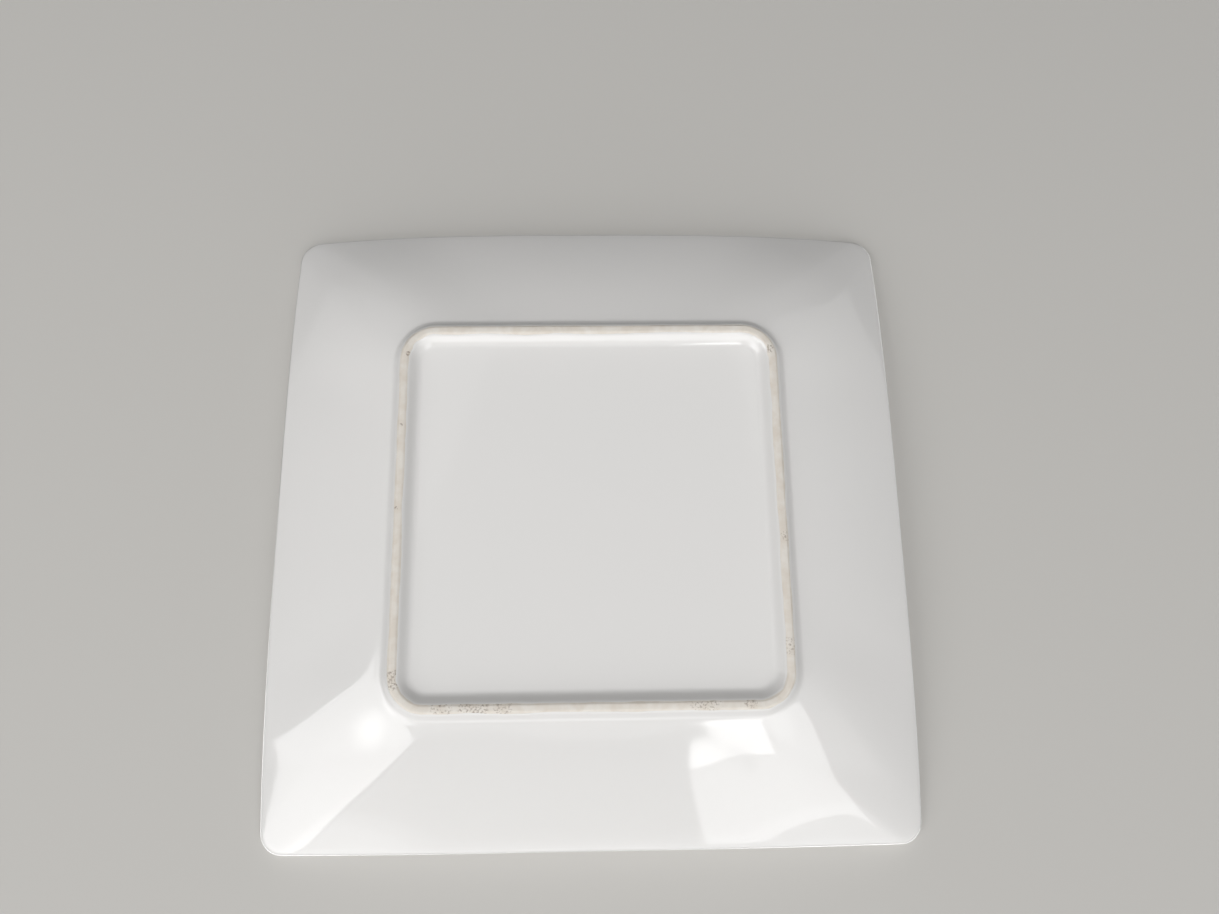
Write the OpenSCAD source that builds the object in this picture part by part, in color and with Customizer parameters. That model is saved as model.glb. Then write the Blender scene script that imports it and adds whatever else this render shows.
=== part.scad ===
// Square porcelain dinner plate with upswept corners, standing on a rounded square foot ring.
// Millimetres. +Z is up, and the origin is on the table under the middle of the plate.

/* [Plate] */
// Width over the lip, across the middle of two opposite sides
plate_w = 260; // [220:1:320]
// Height of the lip above the table at the middle of a side
lip_h = 23; // [14:0.5:40]
// How far the lip climbs from the middle of a side to a corner
corner_lift = 10.5; // [0:0.5:18]
// How far the lip bows out from the middle of a side to a corner
corner_reach = 0.9; // [0:0.1:3]
// Radius of the lip's corners, seen from above
lip_corner_r = 8.5; // [3:0.5:20]
// Thickness of the wall at the lip, glaze included
lip_t = 4.2; // [3:0.1:7]
// Thickness of the floor of the well, glaze included
floor_t = 4.1; // [3:0.1:9]

/* [Foot ring] */
// Width over the ring, from the middle of one side's land to the other's
foot_w = 152.6; // [120:0.2:180]
// Height of the recess floor above the table
foot_h = 4; // [2:0.1:8]
// Width of the flat land that touches the table
land_w = 1.6; // [0.8:0.1:4]
// Width of the bare clay left on each side of the land
bare_w = 0.9; // [0.4:0.1:2]
// Width of the inner flank, from the land to the recess floor
inner_flank_w = 6.3; // [4:0.1:10]
// Width of the outer flank, from the land to the wall
outer_flank_w = 4.8; // [3.5:0.1:12]
// Radius of the recess floor's corners, seen from above
recess_corner_r = 5.7; // [2:0.1:20]

/* [Glaze] */
// Thickness of the fired glaze
glaze_t = 0.3; // [0.15:0.05:0.5]

/* [Hidden] */

// Shapes of the curves: how steeply the wall leaves its root and how late it bends up, how late the lip
// climbs to its corners, how that climb spreads up the wall, how round the ring's crest is,
// how softly its flank runs out at the toe, and how much of that curve is left outside,
// where it meets the wall on the slope
wall_root_share = 0.6;
wall_bend_share = 2.2;
lift_bend_share = 2.7;
lift_spread_share = 1.2;
crest_round_share = 2;
toe_round_share = 2.6;
outer_toe_share = 0.85;
// Thickness of the glaze where it thins out beside the bare clay
glaze_edge_share = 0.4;
// Part of a corner's radius that the rounding takes off the corner's width
corner_cut_share = 1 - sqrt(1 / 2);
// Part of a flank's width over which its slope is measured
slope_share = 0.001;

// Steps along a side, round a corner, up the wall, round half of the lip, and over a flank
side_steps = 12;
corner_steps = 8;
wall_steps = 7;
lip_steps = 3;
bare_steps = 3;
flank_steps = 7;
ring_points = 4 * (side_steps + corner_steps);
// Half of the arc from whose sine the points along a side crowd towards its ends
side_crowd_angle = 60;

// Half widths of the ring's middle line, of the recess floor, of the wall's root and of the plate
crest_s = foot_w / 2;
recess_s = crest_s - land_w / 2 - inner_flank_w;
root_s = crest_s + land_w / 2 + outer_flank_w;
lip_s = plate_w / 2;
root_corner_r = recess_corner_r + root_s - recess_s;
// Half width at the centres that the ring's corners share
corner_s = recess_s - recess_corner_r;

// Underside of the clay over the recess, middle of the floor's thickness, centre of the lip's round
base_z = foot_h + glaze_t;
mid_z = foot_h + floor_t / 2;
lip_centre = [lip_s - lip_t / 2, lip_h - lip_t / 2];

// How far out a half width lies between the wall's root, 0, and the lip, 1
function wall_share(s) = max(0, s - root_s) / (lip_s - root_s);

// Corner radius at a half width: the ring's corners share a centre, and the wall's tighten to the lip's
function corner_r(s) =
    s < root_s ? s - corner_s
    : root_corner_r + (lip_corner_r - root_corner_r) * wall_share(s);

// One quarter of a rounded square: a side, then the corner after it
function crowded_share(i) = sin(side_crowd_angle * (2 * i / side_steps - 1)) / sin(side_crowd_angle);
function quarter(s, r) = concat(
    [for (i = [0:side_steps]) [s, (s - r) * crowded_share(i)]],
    [for (i = [1:corner_steps - 1]) let (a = 90 * i / corner_steps)
        [s - r + r * cos(a), s - r + r * sin(a)]]
);

// Middle of the wall's thickness, from its root, u = 0, to the centre of the lip's round, u = 1.
// Past the lip, where the corners reach, it goes straight on.
wall_run = lip_centre[0] - root_s;
wall_rise = lip_centre[1] - mid_z;
late_share = 1 - wall_root_share;
function climb_share(u) = wall_root_share + late_share * wall_bend_share * pow(u, wall_bend_share - 1);
function risen_share(u) =
    u < 1 ? wall_root_share * u + late_share * pow(u, wall_bend_share)
    : 1 + (u - 1) * climb_share(1);
function wall_middle(u) = [root_s + wall_run * u, mid_z + wall_rise * risen_share(u)];
function wall_slope(u) = u > 0 ? atan(wall_rise / wall_run * climb_share(u)) : 0;

// The wall's height follows curves that share the ring's corner centres, so its corners have no crease.
// Half width that a place has on these curves, and how much higher the wall is there than at a half width
function ring_reach(p) =
    let (x = abs(p[0]) - corner_s, y = abs(p[1]) - corner_s)
    corner_s + (min(x, y) > 0 ? norm([x, y]) : max(x, y));
function wall_height(s) = wall_rise * risen_share(max(0, s - root_s) / wall_run);
function wall_climb(s, p) = wall_height(ring_reach(p)) - wall_height(s);

// At each point of a quarter of the lip: how near it is to the corner, from 0 at the middle of a side to 1,
// and how much more it climbs than the wall does by itself
lip_quarter = quarter(lip_s, lip_corner_r);
nearness_shares = [for (p = lip_quarter) abs(p[0] * p[1]) / pow(lip_s - lip_corner_r * corner_cut_share, 2)];
lip_rest = [for (i = [0:len(lip_quarter) - 1])
    corner_lift * pow(nearness_shares[i], lift_bend_share) - wall_climb(lip_s, lip_quarter[i])];

// A profile point, half width and height, carried round the plate, with its climb to the corners
function level(profile_point) =
    let (
        s = profile_point[0],
        share = wall_share(s),
        points = quarter(s, corner_r(s))
    )
    [for (turn = [0:3], i = [0:len(points) - 1])
        let (
            p = points[i],
            out = 1 + share * corner_reach * pow(nearness_shares[i], 2) / lip_s,
            climb = wall_climb(s, p) + pow(share, lift_spread_share) * lip_rest[i],
            x = p[0] * cos(90 * turn) - p[1] * sin(90 * turn),
            y = p[0] * sin(90 * turn) + p[1] * cos(90 * turn)
        )
        [x * out, y * out, profile_point[1] + climb]];

// A point of the wall's skin, side 1 on the face and -1 on the underside, at a depth in the glaze
function wall_skin(u, side, depth) =
    let (half_t = (floor_t + (lip_t - floor_t) * u) / 2 - depth)
    wall_middle(u) + side * half_t * [-sin(wall_slope(u)), cos(wall_slope(u))];
function wall_run_up(side, depth) = [for (i = [1:wall_steps]) wall_skin(i / wall_steps, side, depth)];

// Half of the lip's round: from the underside to its tip, or from its tip to the face
function lip_point(turn, depth) =
    lip_centre + (lip_t / 2 - depth) * [cos(wall_slope(1) + turn), sin(wall_slope(1) + turn)];
function lip_below(depth) = [for (i = [1:lip_steps]) lip_point(90 * i / lip_steps - 90, depth)];
function lip_above(depth) = [for (i = [1:lip_steps - 1]) lip_point(90 * i / lip_steps, depth)];

// Height of the ring's clay over its flank: 0 at the land, 1 at the toe
function rounded_share(share) =
    let (left = pow(max(0, 1 - share), toe_round_share))
    pow(max(0, 1 - left), crest_round_share);
function flank_z(side, share) =
    let (end = side > 0 ? outer_toe_share : 1)
    base_z * rounded_share(share * end) / rounded_share(end);
function flank_width(side) = side > 0 ? outer_flank_w : inner_flank_w;
function flank_slope(side, share) =
    let (rise = flank_z(side, share) - flank_z(side, share - slope_share))
    atan(rise / (slope_share * flank_width(side)));

// A point on the ring's flank, side 1 outside and -1 inside, under a cover of glaze
function flank_point(side, share, cover) =
    let (slope = share < 1 ? flank_slope(side, share) : 0)
    [crest_s + side * (land_w / 2 + share * flank_width(side)), flank_z(side, share)]
    + cover * [side * sin(slope), -cos(slope)];
function glazed_share(side, i) =
    let (start = bare_w / flank_width(side))
    start + (1 - start) * i / flank_steps;
function glazed_flank(side, cover) = [for (i = [0:flank_steps])
    flank_point(side, glazed_share(side, i), cover * (i == 0 ? glaze_edge_share : 1))];
function bare_flank(side) = [for (i = [0:bare_steps - 1])
    flank_point(side, glazed_share(side, 0) * i / bare_steps, 0)];

function reversed(list) = [for (i = [len(list) - 1:-1:0]) list[i]];

// Joins the levels of a profile that runs outwards below and inwards above.
// A capped one ends in flat faces that fan out from the middle, and the other closes on its first level.
// Every four-cornered patch is split the same way on both skins that meet there, so they fit together.
module loft(profile, capped) {
    levels = len(profile);
    bands = capped ? levels - 1 : levels;
    last = (levels - 1) * ring_points;
    middle = levels * ring_points;
    rings = [for (p = profile) each level(p)];
    middles = capped ? [[0, 0, profile[0][1]], [0, 0, profile[levels - 1][1]]] : [];
    walls = [for (i = [0:bands - 1], j = [0:ring_points - 1])
        let (
            next = (j + 1) % ring_points,
            low = i * ring_points,
            above = (i + 1) % levels,
            high = above * ring_points,
            outwards = profile[above][0] > profile[i][0]
        )
        each outwards
            ? [[low + j, high + next, low + next], [low + j, high + j, high + next]]
            : [[low + j, high + j, low + next], [low + next, high + j, high + next]]];
    caps = capped ? [for (j = [0:ring_points - 1])
        let (next = (j + 1) % ring_points)
        each [[middle, j, next], [middle + 1, last + next, last + j]]] : [];
    polyhedron(concat(rings, middles), concat(walls, caps));
}

// Floor, wall and lip of fired clay
module porcelain_body() {
    color("#efece6")
        loft(concat(
            [wall_skin(0, -1, glaze_t)],
            wall_run_up(-1, glaze_t),
            lip_below(glaze_t),
            lip_above(glaze_t),
            reversed(wall_run_up(1, glaze_t)),
            [wall_skin(0, 1, glaze_t)]
        ), capped = true);
}

// Rounded square ring of bare clay under the floor, ground flat along its land
module foot_ring() {
    section = concat(
        reversed(glazed_flank(-1, 0)), reversed(bare_flank(-1)),
        bare_flank(1), glazed_flank(1, 0)
    );
    color("#dcd2c4")
        for (turn = [0:3]) rotate(90 * turn) {
            rotate([90, 0, 0])
                linear_extrude(2 * corner_s, center = true)
                    polygon(section);
            translate([corner_s, corner_s, 0])
                rotate_extrude(angle = 90, $fn = 96)
                    translate([-corner_s, 0])
                        polygon(section);
        }
}

// Glaze over the well, the wall's face and the upper half of the lip
module face_glaze() {
    color("#f6f6f4")
        loft(concat(
            [wall_skin(0, 1, glaze_t)],
            wall_run_up(1, glaze_t),
            reversed(lip_above(glaze_t)),
            [lip_point(0, glaze_t), lip_point(0, 0)],
            lip_above(0),
            reversed(wall_run_up(1, 0)),
            [wall_skin(0, 1, 0)]
        ), capped = true);
}

// Glaze over the ring's outer flank, the wall's underside and the lower half of the lip
module underside_glaze() {
    color("#f1f2f1")
        loft(concat(
            glazed_flank(1, glaze_t),
            wall_run_up(-1, 0),
            lip_below(0),
            reversed(lip_below(glaze_t)),
            reversed(wall_run_up(-1, glaze_t)),
            reversed(glazed_flank(1, 0))
        ), capped = false);
}

// Glaze over the recess floor and the ring's inner flank
module base_glaze() {
    color("#eceeed")
        loft(concat(
            reversed(glazed_flank(-1, glaze_t)),
            glazed_flank(-1, 0)
        ), capped = true);
}

porcelain_body();
foot_ring();
face_glaze();
underside_glaze();
base_glaze();
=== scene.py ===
import math

import bmesh
import bpy
from mathutils import Matrix, Vector, noise


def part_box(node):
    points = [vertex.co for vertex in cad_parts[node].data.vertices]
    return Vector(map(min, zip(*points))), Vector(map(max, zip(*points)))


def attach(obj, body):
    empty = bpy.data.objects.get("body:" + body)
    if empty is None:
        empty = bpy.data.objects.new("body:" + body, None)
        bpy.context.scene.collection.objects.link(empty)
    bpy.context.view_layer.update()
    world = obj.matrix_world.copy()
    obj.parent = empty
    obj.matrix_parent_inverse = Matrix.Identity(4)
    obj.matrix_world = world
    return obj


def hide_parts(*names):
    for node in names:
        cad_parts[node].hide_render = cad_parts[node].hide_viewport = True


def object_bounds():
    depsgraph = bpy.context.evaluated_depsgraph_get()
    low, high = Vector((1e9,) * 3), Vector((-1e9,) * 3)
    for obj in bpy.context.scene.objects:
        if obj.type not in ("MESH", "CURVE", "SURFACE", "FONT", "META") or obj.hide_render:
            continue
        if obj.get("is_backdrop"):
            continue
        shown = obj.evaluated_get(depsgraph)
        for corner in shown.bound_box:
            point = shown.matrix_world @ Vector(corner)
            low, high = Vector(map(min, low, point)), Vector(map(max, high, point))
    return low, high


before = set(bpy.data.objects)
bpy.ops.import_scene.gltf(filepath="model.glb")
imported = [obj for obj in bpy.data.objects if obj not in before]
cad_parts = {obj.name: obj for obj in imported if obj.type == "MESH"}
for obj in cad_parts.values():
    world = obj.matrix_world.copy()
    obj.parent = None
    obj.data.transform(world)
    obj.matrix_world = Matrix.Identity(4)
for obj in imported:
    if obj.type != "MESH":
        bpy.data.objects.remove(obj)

bl_info = {
    "name": "Square dinner plate",
    "version": (1, 0, 0),
    "blender": (4, 5, 0),
    "location": "View3D > Sidebar > Plate",
    "description": "Lays a square porcelain plate's glaze and bare foot, and sets it on a studio floor",
    "category": "Add Mesh",
}

MM = 0.001

# What the plate's construction says of its size
RING_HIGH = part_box("foot_ring")[1]
FACE_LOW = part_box("face_glaze")[0]
GLAZE_T = 0.3 * MM
FOOT_H = RING_HIGH.z - GLAZE_T

# How steeply the wall leaves its root, as a share of its mean slope, and how late it bends up
WALL_ROOT = 0.6
WALL_BEND = 2.2
# How late the lip climbs to its corners and bows out to them, and how that climb spreads up the wall
CLIMB_BEND = 2.7
REACH_BEND = 2
CLIMB_SPREAD = 1.2
# How round the ring's crest is, how softly its flank runs out at the toe, and what share of that curve is
# left outside, where it meets the wall on the slope
CREST_ROUND = 2.0
TOE_ROUND = 2.6
OUTER_TOE = 0.85
# How far a corner's round lies inside the sharp corner, along each axis, as a share of its radius
CORNER_CUT = 1 - math.sqrt(1 / 2)
# Share of a flank's width over which its slope is measured
SLOPE_SHARE = 0.001
# How fast the wander of the glaze's edge fades up the flank, and how fine its slow and its quick part are
STRAY_FADE = 4
STRAY_SLOW = 9
STRAY_QUICK = 31
# Faces that meet at less than this angle, in degrees, are shaded as one curve
SMOOTH_ANGLE = 40
# Distance under which two places on an outline count as one
NEAR = 0.01 * MM

# Steps along a side, round a corner, up the wall, round half of the lip, over the bare clay, over a flank
SIDE_STEPS = 44
CORNER_STEPS = 14
WALL_STEPS = 30
LIP_STEPS = 12
BARE_STEPS = 5
FLANK_STEPS = 14
# How much closer the steps lie near the wall's root and near the glaze's edge, where the skin turns fast
WALL_CROWD = 1.2
EDGE_CROWD = 1.5
# Steps in from the edge of a flat floor, which keep its middle flat
FLOOR_INSETS = (0.4 * MM, 0.8 * MM, 1.6 * MM)
# How far the dressed plate may lie outside or inside the construction's box
BOX_SLACK = 1 * MM

# Where the foot has picked up dirt: place along and across the plate and reach, in millimetres, and darkness
STAINS = (
    (-74.8, -65.9, 1.7, 1.25), (-76.5, -35.2, 1.2, 1.1), (-77.1, -1.0, 1.4, 1.1), (-75.5, 65.3, 6.5, 1.05),
    (-57.0, 75.2, 8.0, 0.95), (-45.0, 74.9, 11.0, 1.0), (-34.0, 75.2, 7.0, 0.95), (43.0, 75.2, 11.0, 0.95),
    (60.0, 75.0, 5.0, 1.0), (77.4, 11.5, 4.0, 1.0), (76.4, 54.5, 7.0, 0.95), (74.9, -67.2, 3.2, 1.1),
)
# Levels of a pattern between which the clay turns from bare to rubbed, and from clean to dirty, and how much
# of the clay the dirt hides
RUBBED_FROM, RUBBED_TO = 0.35, 0.65
DIRTY_FROM, DIRTY_TO = 0.48, 0.66
DIRT_COVER = 0.7


def tone(code):
    """An sRGB hex colour as linear red, green, blue and alpha."""
    shares = [int(code[i:i + 2], 16) / 255 for i in (1, 3, 5)]
    return [s / 12.92 if s <= 0.04045 else ((s + 0.055) / 1.055) ** 2.4 for s in shares] + [1.0]


def length(label, note, default):
    """A length that a user may change, in metres."""
    return bpy.props.FloatProperty(name=label, description=note, default=default, unit="LENGTH",
                                   subtype="DISTANCE", precision=4)


def colour(label, note, code):
    """A colour that a user may change, from its sRGB hex value."""
    return bpy.props.FloatVectorProperty(name=label, description=note, default=tone(code), size=4,
                                         min=0, max=1, subtype="COLOR")


class PlateSizes(bpy.types.PropertyGroup):
    """Sizes of the plate, in metres."""
    plate_w: length("Width", "Width over the lip, across the middle of two opposite sides", 260 * MM)
    lip_h: length("Lip height", "Height of the lip at the middle of a side", 23 * MM)
    corner_lift: length("Corner lift", "How far the lip climbs to a corner", 10.5 * MM)
    corner_reach: length("Corner reach", "How far the lip bows out to a corner", 0.9 * MM)
    lip_corner_r: length("Lip corner radius", "Radius of the lip's corners, seen from above", 8.5 * MM)
    lip_t: length("Lip thickness", "Thickness of the wall at the lip, glaze included", 4.2 * MM)
    floor_t: length("Floor thickness", "Thickness of the floor of the well", FACE_LOW.z + GLAZE_T - FOOT_H)
    foot_h: length("Foot height", "Height of the recess floor above the table", FOOT_H)
    land_w: length("Land width", "Width of the flat land that touches the table", 1.6 * MM)
    bare_w: length("Bare width", "Width of the bare clay left on each side of the land", 0.9 * MM)
    inner_flank_w: length("Inner flank", "Width of the ring's inner flank", 6.3 * MM)
    outer_flank_w: length("Outer flank", "Width of the ring's outer flank", 4.8 * MM)
    root_s: length("Wall root", "Half width at the foot of the wall, beside the ring", RING_HIGH.x)
    recess_corner_r: length("Recess corner radius", "Radius of the recess floor's corners", 5.7 * MM)
    glaze_t: length("Glaze thickness", "Thickness of the fired glaze", GLAZE_T)
    glaze_edge_t: length("Glaze edge", "Thickness of the glaze beside the bare clay", 0.12 * MM)
    glaze_thin_w: length("Glaze thinning", "Width over which the glaze thins out to its edge", 0.8 * MM)
    glaze_wander: length("Glaze wander", "How far the glaze's wiped edge strays sideways", 0.22 * MM)


class PlateFinish(bpy.types.PropertyGroup):
    """Colours and surface sizes of the plate."""
    glaze: colour("Glaze", "Clear glaze over white porcelain", "#eae8e6")
    glaze_cool: colour("Pooled glaze", "The glaze where it lies a little thicker", "#e8e7e5")
    clay: colour("Clay", "Fired porcelain under the glaze", "#efece6")
    bare_clay: colour("Bare clay", "The unglazed crest of the foot", "#ddd5ca")
    rubbed_clay: colour("Rubbed clay", "Bare clay rubbed pale along the land", "#e6e1d9")
    stain: colour("Stain", "Dirt in the bare clay", "#8d7b6b")
    pool_w: length("Glaze pool", "Distance between the places where the glaze lies thicker", 72 * MM)
    wave_w: length("Glaze wave", "Distance from one wave of the glaze to the next", 24 * MM)
    wave_h: length("Glaze wave height", "Height of the glaze's waves", 0.05 * MM)
    peel_w: length("Glaze peel", "Distance between the fine dimples of the glaze", 5 * MM)
    peel_h: length("Glaze peel height", "Height of the fine dimples of the glaze", 0.0015 * MM)
    grain_w: length("Clay grain", "Size of the bare clay's grain, drawn coarse enough to show", 0.35 * MM)
    grain_h: length("Clay grain height", "Height of the bare clay's grain", 0.03 * MM)
    speck_w: length("Speck", "Distance between the specks of dirt", 0.84 * MM)
    rub_w: length("Rubbed patch", "Distance between the places where the bare clay is rubbed", 4.9 * MM)


class PlateStage(bpy.types.PropertyGroup):
    """The floor, the light and the camera."""
    floor: colour("Floor", "The plain pale floor", "#c8c6c2")
    floor_w: length("Floor width", "Width of the floor that the plate stands on", 3.0)
    window_d: length("Window distance", "Distance of the window lights from the plate", 2.2)
    room: bpy.props.FloatProperty(name="Room light", description="Brightness of the light from all round",
                                  default=0.02, min=0)
    backdrop: bpy.props.FloatProperty(name="Backdrop", description="Brightness of what shows past the floor",
                                      default=0.8, min=0)
    lens: bpy.props.FloatProperty(name="Lens", description="Focal length of the camera", default=28.06,
                                  min=1, unit="CAMERA")


class PlateForm:
    """The plate's section, as half widths and heights, and the way it is carried round the rounded square."""

    def __init__(self, size):
        self.size = size
        # Half widths of the wall's root, the middle of the ring's crest, the recess floor and the lip
        self.root_s = size.root_s
        self.crest_s = self.root_s - size.outer_flank_w - size.land_w / 2
        self.recess_s = self.crest_s - size.land_w / 2 - size.inner_flank_w
        self.lip_s = size.plate_w / 2
        # The corner centres that the recess, the ring and the wall's root share, and the root's radius there
        self.corner_s = self.recess_s - size.recess_corner_r
        self.root_corner_r = self.root_s - self.corner_s
        # Heights of the clay in the recess and of the middle of the floor
        self.base_z = size.foot_h + size.glaze_t
        self.mid_z = size.foot_h + size.floor_t / 2
        # The middle of the wall ends at the centre of the lip's round
        self.lip_centre = Vector((self.lip_s - size.lip_t / 2, size.lip_h - size.lip_t / 2))
        self.run = self.lip_centre.x - self.root_s
        self.rise = self.lip_centre.y - self.mid_z

    def wall_share(self, s):
        """How far out a half width lies between the wall's root, 0, and the lip, 1."""
        return min(1, max(0, s - self.root_s) / (self.lip_s - self.root_s))

    def corner_r(self, s):
        """Corner radius at a half width."""
        if s < self.root_s:
            return s - self.corner_s
        return self.root_corner_r + (self.size.lip_corner_r - self.root_corner_r) * self.wall_share(s)

    def outline(self, s, r, along):
        """A place on a rounded square: on its side, along -1 to 1, or round its corner, along 1 to 2."""
        angle = max(0, along - 1) * math.pi / 2
        return Vector((s - r + r * math.cos(angle), (s - r) * min(1, along) + r * math.sin(angle)))

    def climb(self, s, place):
        """How much higher the wall is at a place than at a half width.

        Its height follows curves that share the ring's corner centres, so its corners have no crease.
        """
        x, y = abs(place.x) - self.corner_s, abs(place.y) - self.corner_s
        reach = self.corner_s + (math.hypot(x, y) if min(x, y) > 0 else max(x, y))
        there, here = (self.risen(max(0, half - self.root_s) / self.run) for half in (reach, s))
        return self.rise * (there - here)

    def place(self, point, turn, along):
        """A point of the section carried round the plate, with its climb to the corners."""
        s, z = point
        share = self.wall_share(s)
        here = self.outline(s, self.corner_r(s), along)
        lip = self.outline(self.lip_s, self.size.lip_corner_r, along)
        near = abs(lip.x * lip.y) / (self.lip_s - self.size.lip_corner_r * CORNER_CUT) ** 2
        out = 1 + share * self.size.corner_reach * near ** REACH_BEND / self.lip_s
        rest = self.size.corner_lift * near ** CLIMB_BEND - self.climb(self.lip_s, lip)
        z += self.climb(s, here) + share ** CLIMB_SPREAD * rest
        return Matrix.Rotation(turn * math.pi / 2, 3, "Z") @ Vector((here.x * out, here.y * out, z))

    def steepening(self, u):
        """How steep the wall is at u, as a share of its mean slope."""
        return WALL_ROOT + (1 - WALL_ROOT) * WALL_BEND * u ** (WALL_BEND - 1)

    def risen(self, u):
        """Part of the wall's rise that is reached at u. Past the lip it goes straight on, for the corners."""
        if u < 1:
            return WALL_ROOT * u + (1 - WALL_ROOT) * u ** WALL_BEND
        return 1 + (u - 1) * self.steepening(1)

    def wall_slope(self, u):
        """Slope of the wall, from its root, u = 0, to the centre of the lip's round, u = 1."""
        return math.atan(self.rise / self.run * self.steepening(u)) if u > 0 else 0

    def wall_skin(self, u, side, depth=0.0):
        """A point of the wall's skin, side 1 on the face and -1 on the underside, at a depth in the glaze."""
        half_t = (self.size.floor_t + (self.size.lip_t - self.size.floor_t) * u) / 2 - depth
        middle = Vector((self.root_s + self.run * u, self.mid_z + self.rise * self.risen(u)))
        slope = self.wall_slope(u)
        return middle + side * half_t * Vector((-math.sin(slope), math.cos(slope)))

    def wall(self, side, depth=0.0):
        """The wall's skin, from the root out to the lip."""
        return [self.wall_skin((i / WALL_STEPS) ** WALL_CROWD, side, depth) for i in range(WALL_STEPS + 1)]

    def lip(self, side, depth=0.0):
        """Half of the lip's round, from the wall's skin out to its tip."""
        radius = self.size.lip_t / 2 - depth
        start, quarter = self.wall_slope(1), side * math.pi / 2
        turns = [start + quarter * (1 - i / LIP_STEPS) for i in range(1, LIP_STEPS + 1)]
        return [self.lip_centre + radius * Vector((math.cos(t), math.sin(t))) for t in turns]

    def flank_w(self, side):
        """Width of the ring's flank, side 1 outside and -1 inside."""
        return self.size.outer_flank_w if side > 0 else self.size.inner_flank_w

    def flank_z(self, side, share):
        """Height of the ring's clay over its flank, at share 0 beside the land and 1 at the toe."""
        end = OUTER_TOE if side > 0 else 1
        share, whole = ((1 - (1 - part) ** TOE_ROUND) ** CREST_ROUND for part in (share * end, end))
        return self.base_z * share / whole

    def flank(self, side, share, cover=0.0):
        """A point of the ring's flank, side 1 outside and -1 inside, under a cover of glaze."""
        width = self.flank_w(side)
        z = self.flank_z(side, share)
        before = self.flank_z(side, share - SLOPE_SHARE) if share > SLOPE_SHARE else z
        slope = math.atan((z - before) / (SLOPE_SHARE * width)) if share < 1 else 0
        s = self.crest_s + side * (self.size.land_w / 2 + share * width)
        return Vector((s, z)) + cover * Vector((side * math.sin(slope), -math.cos(slope)))

    def bare(self, side):
        """The bare clay beside the land, from the land to where the glaze begins."""
        end = self.size.bare_w / self.flank_w(side)
        return [self.flank(side, end * i / BARE_STEPS) for i in range(BARE_STEPS)]

    def clay_flank(self, side):
        """The clay under the glaze, from the edge of the glaze to the toe."""
        start = self.size.bare_w / self.flank_w(side)
        return [self.flank(side, start + (1 - start) * i / FLANK_STEPS) for i in range(FLANK_STEPS + 1)]

    def clay_shell(self, depth):
        """The clay of the wall, from its root up the underside, round the lip and down the face."""
        below = self.wall(-1, depth) + self.lip(-1, depth)
        above = self.wall(1, depth) + self.lip(1, depth)[:-1]
        return below + above[::-1]

    def glazed_flank(self, side):
        """The glaze's skin over the flank, its edge wandering a little beside the bare clay."""
        size, width = self.size, self.flank_w(side)
        start = size.bare_w / width

        def level(i):
            """One level of the skin, whose height and half width depend on the way round."""
            step = (i / FLANK_STEPS) ** EDGE_CROWD
            thin = min(1, step * (1 - start) * width / size.glaze_thin_w)
            cover = size.glaze_edge_t + (size.glaze_t - size.glaze_edge_t) * math.sin(thin * math.pi / 2)

            def at(turn, along):
                stray = size.glaze_wander / width * (1 - step) ** STRAY_FADE * strays(side, turn, along)
                return self.flank(side, min(1, start + (1 - start) * step + stray), cover)
            return at
        return [level(i) for i in range(FLANK_STEPS + 1)]


def strays(side, turn, along):
    """A smooth wander on the way round the ring, where each side and its corner take a quarter turn."""
    angle = (turn + (along + 1) / 3) * math.pi / 2
    way = Vector((math.cos(angle), math.sin(angle), side))
    return 2 * noise.noise(way * STRAY_SLOW) + noise.noise(way * STRAY_QUICK)


def add(tree, kind, sockets, **settings):
    """Adds a node, sets what it is told, and joins the sockets that other nodes feed."""
    node = tree.nodes.new(kind)
    for name, value in settings.items():
        setattr(node, name, value)
    for name, value in sockets.items():
        if isinstance(value, bpy.types.NodeSocket):
            tree.links.new(value, node.inputs[name])
        else:
            node.inputs[name].default_value = value
    return node


def fresh_material(name):
    """An empty material, its node tree and its output node."""
    material = bpy.data.materials.new(name)
    material.use_nodes = True
    tree = material.node_tree
    tree.nodes.clear()
    return material, tree, tree.nodes.new("ShaderNodeOutputMaterial")


def feldspar_glaze(finish):
    """Clear glaze fired glossy over white porcelain: sharp reflections with softly wavy edges."""
    name = "feldspar_glaze_fired_glossy"
    if name in bpy.data.materials:
        return bpy.data.materials[name]
    material, tree, out = fresh_material(name)
    place = add(tree, "ShaderNodeTexCoord", {}).outputs["Object"]
    # Broad clouds where the glaze lies thicker and looks a little cooler
    pool = add(tree, "ShaderNodeTexNoise", {"Vector": place, "Scale": 1 / finish.pool_w, "Detail": 2.0})
    look = add(tree, "ShaderNodeMix", {0: pool.outputs["Fac"], 6: finish.glaze, 7: finish.glaze_cool},
               data_type="RGBA")
    # Slow waves that bend the edges of a reflection
    wave = add(tree, "ShaderNodeTexNoise", {"Vector": place, "Scale": 1 / finish.wave_w, "Detail": 1.0,
                                            "Roughness": 0.4})
    slow = add(tree, "ShaderNodeBump", {"Height": wave.outputs["Fac"], "Distance": finish.wave_h})
    # Fine dimples that break a highlight a little, as orange peel does
    peel = add(tree, "ShaderNodeTexNoise", {"Vector": place, "Scale": 1 / finish.peel_w, "Detail": 1.0})
    fine = add(tree, "ShaderNodeBump", {"Height": peel.outputs["Fac"], "Distance": finish.peel_h,
                                        "Normal": slow.outputs["Normal"]})
    # Its index is high for a glaze, to match how strongly the real one mirrors the lights
    shader = add(tree, "ShaderNodeBsdfPrincipled", {
        "Base Color": look.outputs[2], "Roughness": 0.05, "IOR": 1.62, "Normal": fine.outputs["Normal"]})
    tree.links.new(shader.outputs[0], out.inputs["Surface"])
    return material


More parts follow.
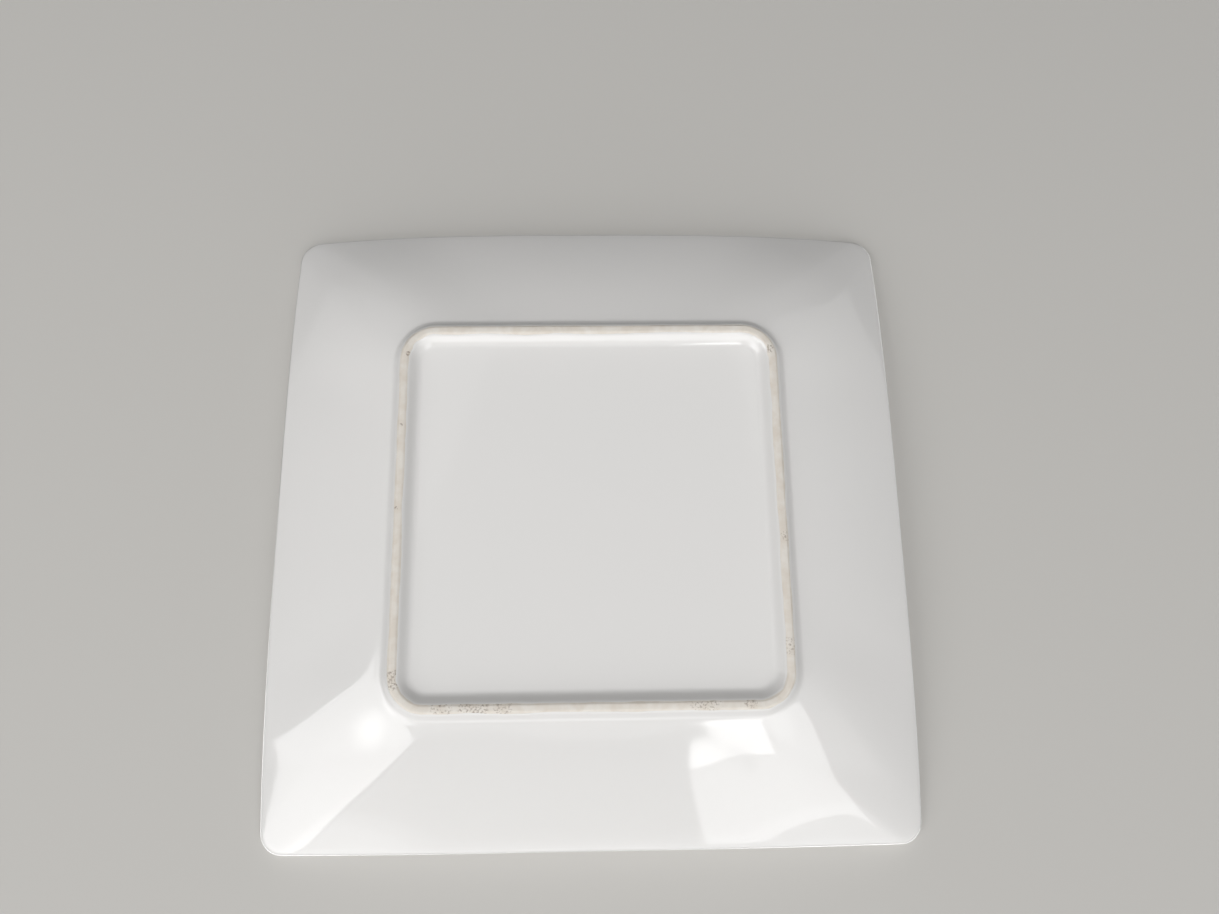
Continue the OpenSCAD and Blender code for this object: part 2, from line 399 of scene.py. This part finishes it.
def bare_porcelain(finish):
    """Unglazed porcelain, ground flat and rubbed: a dry matt beige with fine grain and specks of dirt."""
    material, tree, out = fresh_material("bare_porcelain_ground_matt")
    place = add(tree, "ShaderNodeTexCoord", {}).outputs["Object"]
    grain = add(tree, "ShaderNodeTexNoise", {"Vector": place, "Scale": 1 / finish.grain_w, "Detail": 3.0})
    # Paler patches where the clay is rubbed
    blotch = add(tree, "ShaderNodeTexNoise", {"Vector": place, "Scale": 1 / finish.rub_w, "Detail": 3.0})
    rubbed = add(tree, "ShaderNodeMapRange", {"Value": blotch.outputs["Fac"], "From Min": RUBBED_FROM,
                                              "From Max": RUBBED_TO})
    clay = add(tree, "ShaderNodeMix", {0: rubbed.outputs[0], 6: finish.bare_clay, 7: finish.rubbed_clay},
               data_type="RGBA")
    # Dirt gathers at a few places on the ring
    dirty = None
    for x, y, reach, dark in STAINS:
        away = add(tree, "ShaderNodeVectorMath", {0: place, 1: (x * MM, y * MM, 0)}, operation="DISTANCE")
        spot = add(tree, "ShaderNodeMapRange", {"Value": away.outputs["Value"], "From Min": reach * MM,
                                                "From Max": reach * MM / 2, "To Max": dark})
        if dirty is None:
            dirty = spot.outputs[0]
        else:
            both = add(tree, "ShaderNodeMath", {0: dirty, 1: spot.outputs[0]}, operation="MAXIMUM")
            dirty = both.outputs[0]
    # and there it shows as separate specks
    specks = add(tree, "ShaderNodeTexNoise", {"Vector": place, "Scale": 1 / finish.speck_w, "Detail": 4.0})
    lone = add(tree, "ShaderNodeMath", {0: specks.outputs["Fac"], 1: dirty}, operation="MULTIPLY")
    soil = add(tree, "ShaderNodeMapRange", {"Value": lone.outputs[0], "From Min": DIRTY_FROM,
                                            "From Max": DIRTY_TO, "To Max": DIRT_COVER})
    look = add(tree, "ShaderNodeMix", {0: soil.outputs[0], 6: clay.outputs[2], 7: finish.stain},
               data_type="RGBA")
    tooth = add(tree, "ShaderNodeBump", {"Height": grain.outputs["Fac"], "Distance": finish.grain_h})
    shader = add(tree, "ShaderNodeBsdfPrincipled", {
        "Base Color": look.outputs[2], "Roughness": 0.7, "IOR": 1.5, "Normal": tooth.outputs["Normal"]})
    tree.links.new(shader.outputs[0], out.inputs["Surface"])
    return material


def fired_porcelain(finish):
    """Porcelain fired before it is glazed: white and matt, with a faint grain."""
    material, tree, out = fresh_material("porcelain_fired_matt")
    place = add(tree, "ShaderNodeTexCoord", {}).outputs["Object"]
    grain = add(tree, "ShaderNodeTexNoise", {"Vector": place, "Scale": 1 / finish.grain_w, "Detail": 2.0})
    look = add(tree, "ShaderNodeMix", {0: grain.outputs["Fac"], 6: finish.clay, 7: finish.rubbed_clay},
               data_type="RGBA")
    tooth = add(tree, "ShaderNodeBump", {"Height": grain.outputs["Fac"], "Distance": finish.grain_h})
    shader = add(tree, "ShaderNodeBsdfPrincipled", {
        "Base Color": look.outputs[2], "Roughness": 0.6, "IOR": 1.5, "Normal": tooth.outputs["Normal"]})
    tree.links.new(shader.outputs[0], out.inputs["Surface"])
    return material


def start_outline(name, half, radius):
    """A rounded square outline in edit mode, made from a plane, its vertices marked with their way round."""
    bpy.ops.object.select_all(action="DESELECT")
    bpy.ops.mesh.primitive_plane_add(size=2 * half)
    piece = bpy.context.object
    piece.name = piece.data.name = name
    bpy.ops.object.mode_set(mode="EDIT")
    bpy.ops.mesh.select_mode(type="VERT")
    bpy.ops.mesh.select_all(action="SELECT")
    bpy.ops.mesh.bevel(offset=radius, segments=CORNER_STEPS, affect="VERTICES")
    bpy.ops.mesh.delete(type="ONLY_FACE")
    bpy.ops.mesh.select_mode(type="EDGE")
    bpy.ops.mesh.select_all(action="DESELECT")
    mesh = bmesh.from_edit_mesh(piece.data)
    for edge in mesh.edges:
        edge.select_set(edge.calc_length() > half)
    bmesh.update_edit_mesh(piece.data)
    bpy.ops.mesh.subdivide(number_cuts=SIDE_STEPS - 1)
    bpy.ops.mesh.select_all(action="SELECT")
    mesh = bmesh.from_edit_mesh(piece.data)
    turns = mesh.verts.layers.int.new("turn")
    alongs = mesh.verts.layers.float.new("along")
    for vert in mesh.verts:
        vert[turns], vert[alongs] = way_round(vert.co, half - radius)
    bmesh.update_edit_mesh(piece.data)
    return piece


def way_round(point, straight):
    """Which side a point is on, and how far along it: -1 to 1 on the side, 1 to 2 round its corner."""
    # A place where a side meets its corner counts as the side's
    corners = []
    for turn in range(4):
        x, y, _ = Matrix.Rotation(-turn * math.pi / 2, 3, "Z") @ point
        if x > straight and abs(y) <= straight + NEAR:
            return turn, max(-1, min(1, y / straight))
        if x > straight and y > straight:
            corners.append((turn, 1 + math.atan2(y - straight, x - straight) / (math.pi / 2)))
    return corners[0]


def lay_loop(piece, form, level):
    """Moves the selected loop of vertices to a level of the section.

    A level is a point of the section, or a function that gives one for each place on the way round.
    """
    mesh = bmesh.from_edit_mesh(piece.data)
    turns = mesh.verts.layers.int["turn"]
    alongs = mesh.verts.layers.float["along"]
    for vert in mesh.verts:
        if vert.select:
            point = level(vert[turns], vert[alongs]) if callable(level) else level
            vert.co = form.place(point, vert[turns], vert[alongs])
    bmesh.update_edit_mesh(piece.data)


def lay_levels(name, form, levels, half):
    """Extrudes an outline through the levels of a section, and leaves the last loop selected in edit mode."""
    piece = start_outline(name, half, form.corner_r(half))
    lay_loop(piece, form, levels[0])
    for level in levels[1:]:
        bpy.ops.mesh.extrude_edges_move()
        lay_loop(piece, form, level)
    return piece


def close_floor():
    """Fills the selected loop, and insets it so that the flat of the floor stays flat to its edge."""
    bpy.ops.mesh.edge_face_add()
    for inset in FLOOR_INSETS:
        bpy.ops.mesh.inset(thickness=inset, use_even_offset=True)


def turn_skin(piece, up):
    """Turns an open skin's faces to look up or down, where most of it is level."""
    mesh = bmesh.from_edit_mesh(piece.data)
    looks_up = sum(face.normal.z * face.calc_area() for face in mesh.faces) > 0
    bpy.ops.mesh.select_all(action="SELECT")
    if looks_up != up:
        bpy.ops.mesh.flip_normals()


def finish_piece(piece, material, node, thickness=0.0):
    """Leaves edit mode, thickens a skin inwards, smooths it, and puts it in its node's place."""
    bpy.ops.object.mode_set(mode="OBJECT")
    if thickness:
        coat = piece.modifiers.new("coat", "SOLIDIFY")
        coat.thickness = thickness
        coat.offset = -1
        coat.use_even_offset = True
        bpy.ops.object.modifier_apply(modifier=coat.name)
    mesh = bmesh.new()
    mesh.from_mesh(piece.data)
    open_edges = sum(not edge.is_manifold for edge in mesh.edges)
    mesh.free()
    if open_edges:
        raise RuntimeError(f"{piece.name} has {open_edges} open edges")
    bpy.ops.object.shade_smooth_by_angle(angle=math.radians(SMOOTH_ANGLE))
    for mark in ("turn", "along"):
        piece.data.attributes.remove(piece.data.attributes[mark])
    piece.data.materials.clear()
    piece.data.materials.append(material)
    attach(piece, "root")
    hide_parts(node)


class PLATE_OT_porcelain_body(bpy.types.Operator):
    """Models the clay under the glaze: floor, wall and lip"""
    bl_idname = "plate.porcelain_body"
    bl_label = "Porcelain body"

    def execute(self, context):
        size = context.scene.plate_sizes
        form = PlateForm(size)
        piece = lay_levels("porcelain_wall", form, form.clay_shell(size.glaze_t), form.root_s)
        # The last loop closes as the top of the floor, and the first one as its underside
        close_floor()
        bpy.ops.mesh.select_all(action="SELECT")
        bpy.ops.mesh.region_to_loop()
        close_floor()
        bpy.ops.mesh.select_all(action="SELECT")
        bpy.ops.mesh.normals_make_consistent(inside=False)
        finish_piece(piece, fired_porcelain(context.scene.plate_finish), "porcelain_body")
        return {"FINISHED"}


class PLATE_OT_foot_ring(bpy.types.Operator):
    """Models the foot ring, its crest bare and ground flat"""
    bl_idname = "plate.foot_ring"
    bl_label = "Foot ring"

    def execute(self, context):
        form = PlateForm(context.scene.plate_sizes)
        levels = form.clay_flank(-1)[::-1] + form.bare(-1)[::-1] + form.bare(1) + form.clay_flank(1)
        piece = lay_levels("bare_foot_ring", form, levels, form.recess_s)
        # The toes of both flanks are bridged, where the ring sits on the body
        bpy.ops.mesh.select_all(action="SELECT")
        bpy.ops.mesh.region_to_loop()
        bpy.ops.mesh.bridge_edge_loops()
        bpy.ops.mesh.select_all(action="SELECT")
        bpy.ops.mesh.normals_make_consistent(inside=False)
        finish_piece(piece, bare_porcelain(context.scene.plate_finish), "foot_ring")
        return {"FINISHED"}


class PLATE_OT_underside_glaze(bpy.types.Operator):
    """Lays the glaze from the ring's outer flank up the underside of the wall to the lip"""
    bl_idname = "plate.underside_glaze"
    bl_label = "Underside glaze"

    def execute(self, context):
        size = context.scene.plate_sizes
        form = PlateForm(size)
        levels = form.glazed_flank(1) + form.wall(-1)[1:] + form.lip(-1)
        piece = lay_levels("underside_glaze_coat", form, levels, form.root_s)
        turn_skin(piece, up=False)
        finish_piece(piece, feldspar_glaze(context.scene.plate_finish),
                     "underside_glaze", size.glaze_t)
        return {"FINISHED"}


class PLATE_OT_face_glaze(bpy.types.Operator):
    """Lays the glaze from the lip down the face of the wall and over the well"""
    bl_idname = "plate.face_glaze"
    bl_label = "Face glaze"

    def execute(self, context):
        size = context.scene.plate_sizes
        form = PlateForm(size)
        levels = (form.wall(1) + form.lip(1))[::-1]
        piece = lay_levels("face_glaze_coat", form, levels, form.lip_s)
        close_floor()
        turn_skin(piece, up=True)
        finish_piece(piece, feldspar_glaze(context.scene.plate_finish), "face_glaze",
                     size.glaze_t)
        return {"FINISHED"}


class PLATE_OT_base_glaze(bpy.types.Operator):
    """Lays the glaze from the ring's inner flank over the floor of the recess"""
    bl_idname = "plate.base_glaze"
    bl_label = "Base glaze"

    def execute(self, context):
        size = context.scene.plate_sizes
        form = PlateForm(size)
        piece = lay_levels("base_glaze_coat", form, form.glazed_flank(-1), form.crest_s)
        close_floor()
        turn_skin(piece, up=False)
        finish_piece(piece, feldspar_glaze(context.scene.plate_finish), "base_glaze",
                     size.glaze_t)
        return {"FINISHED"}


def one_way_board(stage):
    """Painted board, rolled matt: plain and pale, and clear from behind so that the plate shows."""
    material, tree, out = fresh_material("painted_board_rolled_matt")
    behind = add(tree, "ShaderNodeNewGeometry", {}).outputs["Backfacing"]
    paint = add(tree, "ShaderNodeBsdfDiffuse", {"Color": stage.floor})
    clear = add(tree, "ShaderNodeBsdfTransparent", {})
    both = add(tree, "ShaderNodeMixShader", {0: behind, 1: paint.outputs[0], 2: clear.outputs[0]})
    tree.links.new(both.outputs[0], out.inputs["Surface"])
    return material


def lay_floor(name, height, looks_up, material, width):
    """A floor at a height, seen from one side only, that neither blocks nor sends back light."""
    bpy.ops.object.select_all(action="DESELECT")
    bpy.ops.mesh.primitive_plane_add(size=width, location=(0, 0, height))
    floor = bpy.context.object
    floor.name = floor.data.name = name
    if not looks_up:
        floor.data.flip_normals()
    floor.data.materials.append(material)
    floor.visible_diffuse = floor.visible_glossy = floor.visible_shadow = False
    floor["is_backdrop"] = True


def window(name, side, bearing, height, lean, across, rise, glow, distance, shape="RECTANGLE"):
    """A light that faces the plate, on its face's or its foot's side, spanning shares of its distance."""
    turn, tip = math.radians(bearing), math.radians(height)
    out = Vector((math.cos(tip) * math.cos(turn), math.cos(tip) * math.sin(turn), side * math.sin(tip)))
    level = Vector((-math.sin(turn), math.cos(turn), 0))
    right = level * math.cos(math.radians(lean)) + side * out.cross(level) * math.sin(math.radians(lean))
    up = side * out.cross(right)
    lamp = bpy.data.lights.new(name, "AREA")
    lamp.shape = shape
    lamp.size, lamp.size_y = (across[1] - across[0]) * distance, (rise[1] - rise[0]) * distance
    lamp.energy = glow * math.pi * lamp.size * lamp.size_y
    light = bpy.data.objects.new(name, lamp)
    light.location = (out + right * sum(across) / 2 + up * sum(rise) / 2) * distance
    light.rotation_euler = Matrix((right, out.cross(right), out)).transposed().to_euler()
    light.visible_camera = False
    bpy.context.scene.collection.objects.link(light)


def soft_spot(name, side, bearing, height, lean, across, rise, glow, distance):
    """A round light that fades outwards, laid as ellipses of one middle, each smaller and a little nearer."""
    for step in range(SPOT_STEPS):
        left = 1 - step / SPOT_STEPS
        spans = []
        for near, far in (across, rise):
            middle, half = (near + far) / 2, (far - near) / 2 * left
            spans.append((middle - half, middle + half))
        window(f"{name}_{step}", side, bearing, height, lean, *spans, glow / SPOT_STEPS,
               distance * (1 - LIGHT_GAP * (step + 1)), "ELLIPSE")


def light_room(scene, stage):
    """A faint even light from all round, and the plain backdrop that shows past the floor."""
    world = bpy.data.worlds.new("room")
    world.use_nodes = True
    tree = world.node_tree
    tree.nodes.clear()
    room = add(tree, "ShaderNodeBackground", {"Color": (1, 1, 1, 1), "Strength": stage.room})
    wall = add(tree, "ShaderNodeBackground", {"Color": stage.floor, "Strength": stage.backdrop})
    seen = add(tree, "ShaderNodeLightPath", {}).outputs["Is Camera Ray"]
    both = add(tree, "ShaderNodeMixShader", {0: seen, 1: room.outputs[0], 2: wall.outputs[0]})
    out = tree.nodes.new("ShaderNodeOutputWorld")
    tree.links.new(both.outputs[0], out.inputs["Surface"])
    scene.world = world


def stand_camera(scene, stage):
    """The camera, at the photograph's viewing angle."""
    camera = bpy.data.objects.new("camera", bpy.data.cameras.new("camera"))
    camera.data.lens = stage.lens
    camera.data.clip_start = CAMERA_NEAR
    camera.location = CAMERA_PLACE
    toward = (CAMERA_PLACE - CAMERA_AIM).normalized()
    right = CAMERA_UP.cross(toward).normalized()
    upright = Matrix((right, toward.cross(right), toward)).transposed()
    roll = Matrix.Rotation(CAMERA_ROLL, 3, "Z")
    camera.rotation_euler = (upright @ roll).to_euler()
    scene.collection.objects.link(camera)
    scene.camera = camera


class PLATE_OT_stage(bpy.types.Operator):
    """Sets the floors, the window light and the camera"""
    bl_idname = "plate.stage"
    bl_label = "Stage"

    def execute(self, context):
        scene = context.scene
        stage = scene.plate_stage
        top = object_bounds()[1].z
        material = one_way_board(stage)
        lay_floor("floor_under_foot", 0, True, material, stage.floor_w)
        lay_floor("floor_under_lip", top, False, material, stage.floor_w)
        for step, row in enumerate(WINDOWS):
            window(*row, stage.window_d * (1 + LIGHT_GAP * step))
        for row in SOFT_SPOTS:
            soft_spot(*row, stage.window_d)
        light_room(scene, stage)
        scene.view_settings.view_transform = "Standard"
        stand_camera(scene, stage)
        return {"FINISHED"}


# Lights round the plate, which its glaze mirrors: the side of the plate they light, 1 the face and
# -1 the underside, bearing from +X towards +Y, height off the horizon, lean, span across and up, brightness.
# The three low ones overlap, so that their upper edge fades out in steps.
WINDOWS = (
    ("left_window", -1, 146, 30, -4, (-0.35, 0.415), (-0.22, 0.605), 2.5),
    ("left_wall", -1, 200, 45, 0, (-0.75, 0.60), (-0.60, 0.60), 0.28),
    ("right_window", -1, 60, 43.5, 17, (-0.24, 0.215), (-0.345, 0.5), 2.15),
    ("right_window_sky", -1, 60, 43.5, 17, (0.12, 0.215), (0.09, 0.5), 2.6),
    ("right_wall", -1, -8, 45, 0, (-0.70, 0.72), (-0.60, 0.60), 0.42),
    ("low_wall", -1, 90, 12, 0, (-1.50, 1.50), (-0.10, 0.36), 0.57),
    ("low_wall_middle", -1, 90, 12, 0, (-1.50, 1.50), (-0.10, 0.27), 0.56),
    ("low_wall_foot", -1, 90, 12, 0, (-1.50, 1.50), (-0.10, 0.19), 0.56),
    ("ceiling", -1, 90, 88, 0, (-0.50, 0.50), (-0.50, 0.50), 0.53),
    ("left_softbox", 1, 146, 50, 0, (-0.50, 0.50), (-0.35, 0.45), 2.6),
    ("right_softbox", 1, 50, 50, 0, (-0.35, 0.35), (-0.35, 0.45), 2.6),
    ("back_softbox", 1, 265, 50, 0, (-0.40, 0.40), (-0.25, 0.35), 1.3),
    ("side_softbox", 1, -20, 25, 0, (-0.60, 0.60), (-0.25, 0.35), 1.2),
)
# Round lights that fade outwards, given as the windows are, and their number of steps
SOFT_SPOTS = (
    ("left_window_spot", -1, 146, 30, -4, (-0.14, 0.14), (0.27, 0.54), 2.2),
)
SPOT_STEPS = 5
# Part of its distance by which one light stands off the next, so that two that overlap both show
LIGHT_GAP = 0.002

# The photograph looks at the underside: where the camera stands, what it looks at, which way is up in its
# picture, how it leans, and how near it sees
CAMERA_PLACE = Vector((-2.04, 74.30, -370.67)) * MM
CAMERA_AIM = Vector((7.65, -21.07, 0)) * MM
CAMERA_UP = Vector((0, -1, 0))
CAMERA_ROLL = math.radians(-0.86)
CAMERA_NEAR = 10 * MM


class PLATE_PT_panel(bpy.types.Panel):
    """Lists the steps that make the plate"""
    bl_idname = "PLATE_PT_panel"
    bl_label = "Square dinner plate"
    bl_space_type = "VIEW_3D"
    bl_region_type = "UI"
    bl_category = "Plate"

    def draw(self, context):
        for step in STEPS:
            self.layout.operator(step.bl_idname)


STEPS = (PLATE_OT_porcelain_body, PLATE_OT_foot_ring, PLATE_OT_underside_glaze, PLATE_OT_face_glaze,
         PLATE_OT_base_glaze, PLATE_OT_stage)
GROUPS = {"plate_sizes": PlateSizes, "plate_finish": PlateFinish, "plate_stage": PlateStage}


def register():
    """Registers the sizes, the steps and the panel."""
    for name, group in GROUPS.items():
        bpy.utils.register_class(group)
        setattr(bpy.types.Scene, name, bpy.props.PointerProperty(type=group))
    for step in STEPS:
        bpy.utils.register_class(step)
    bpy.utils.register_class(PLATE_PT_panel)


def unregister():
    """Takes the panel, the steps and the sizes away again."""
    bpy.utils.unregister_class(PLATE_PT_panel)
    for step in reversed(STEPS):
        bpy.utils.unregister_class(step)
    for name, group in GROUPS.items():
        delattr(bpy.types.Scene, name)
        bpy.utils.unregister_class(group)


def main():
    """Makes the plate step by step."""
    register()
    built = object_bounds()
    bpy.ops.plate.porcelain_body()
    bpy.ops.plate.foot_ring()
    bpy.ops.plate.underside_glaze()
    bpy.ops.plate.face_glaze()
    bpy.ops.plate.base_glaze()
    bpy.ops.plate.stage()
    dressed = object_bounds()
    stray = max(abs(a - b) for was, now in zip(built, dressed) for a, b in zip(was, now))
    if stray > BOX_SLACK:
        raise RuntimeError(f"The dressed plate strays {stray / MM:.2f} mm from its construction")


if __name__ == "__main__":
    main()
